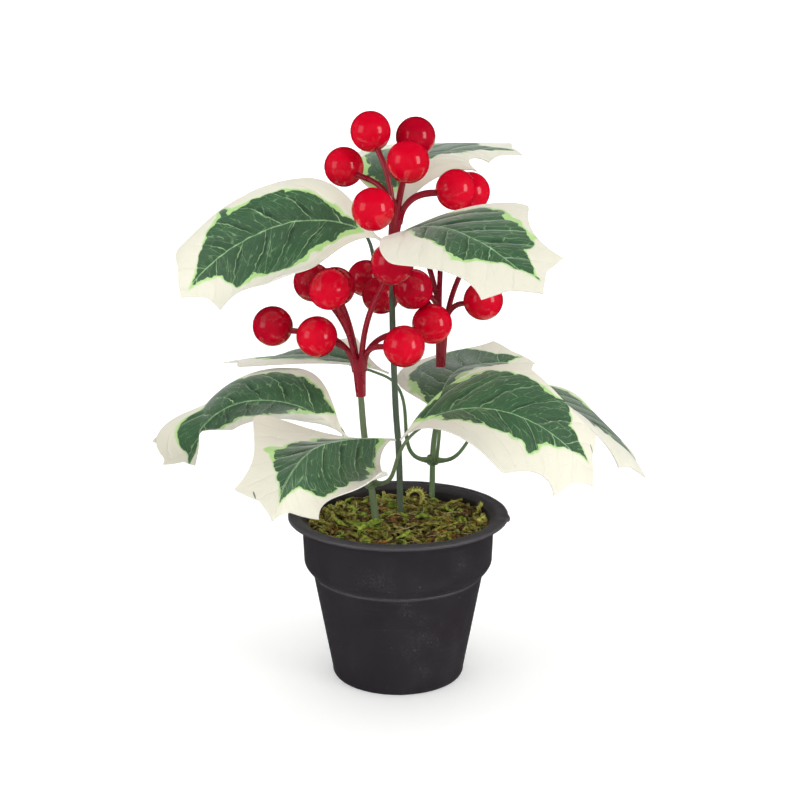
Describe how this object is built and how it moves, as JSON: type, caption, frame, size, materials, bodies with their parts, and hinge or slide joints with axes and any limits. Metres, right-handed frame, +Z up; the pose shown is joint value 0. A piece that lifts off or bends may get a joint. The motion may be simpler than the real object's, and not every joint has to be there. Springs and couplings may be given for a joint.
{
  "type": "artificial potted holly",
  "caption": "Small artificial holly with spiny cream-edged leaves and sprigs of round red berries on thin stems, standing in a round plastic pot topped with moss.",
  "frame": {"origin": "centre of the pot's flat underside, on the surface it stands on", "axes": "+Z up the pot's axis, +X to the right and +Y away from the viewer of the picture"},
  "size_m": [0.2003, 0.1642, 0.2287],
  "materials": {
    "pot": "near-black moulded plastic with a dull satin sheen, scuffed and dusty",
    "filling": "rough pale casting mix, hidden under the moss",
    "moss": "matted dry moss strands in olive, brown and bright green",
    "stem": "dark green moulded plastic, slightly glossy",
    "leaf": "stiffened printed cloth, dark green centre with a light green border and a wide cream margin, satin",
    "berry": "glossy bright red lacquer, darker red on the stalks"
  },
  "bodies": {
    "root": {"pot": "pot", "filling": "filling", "moss": "moss", "stem_left": "stem", "collar_left": "stem", "stem_centre": "stem", "collar_centre": "stem", "stem_right": "stem", "collar_right": "stem", "leaf_top_left": "leaf", "arm_top_left": "stem", "leaf_top_right": "leaf", "arm_top_right": "stem", "leaf_top_back": "leaf", "arm_top_back": "stem", "leaf_low_front": "leaf", "arm_low_front": "stem", "leaf_low_left": "leaf", "arm_low_left": "stem", "leaf_low_right": "leaf", "arm_low_right": "stem", "leaf_mid_right": "leaf", "arm_mid_right": "stem", "leaf_far_right": "leaf", "arm_far_right": "stem", "leaf_mid_left": "leaf", "arm_mid_left": "stem", "berries_left": "berry", "berries_centre": "berry", "berries_right": "berry"}
  },
  "joints": []
}
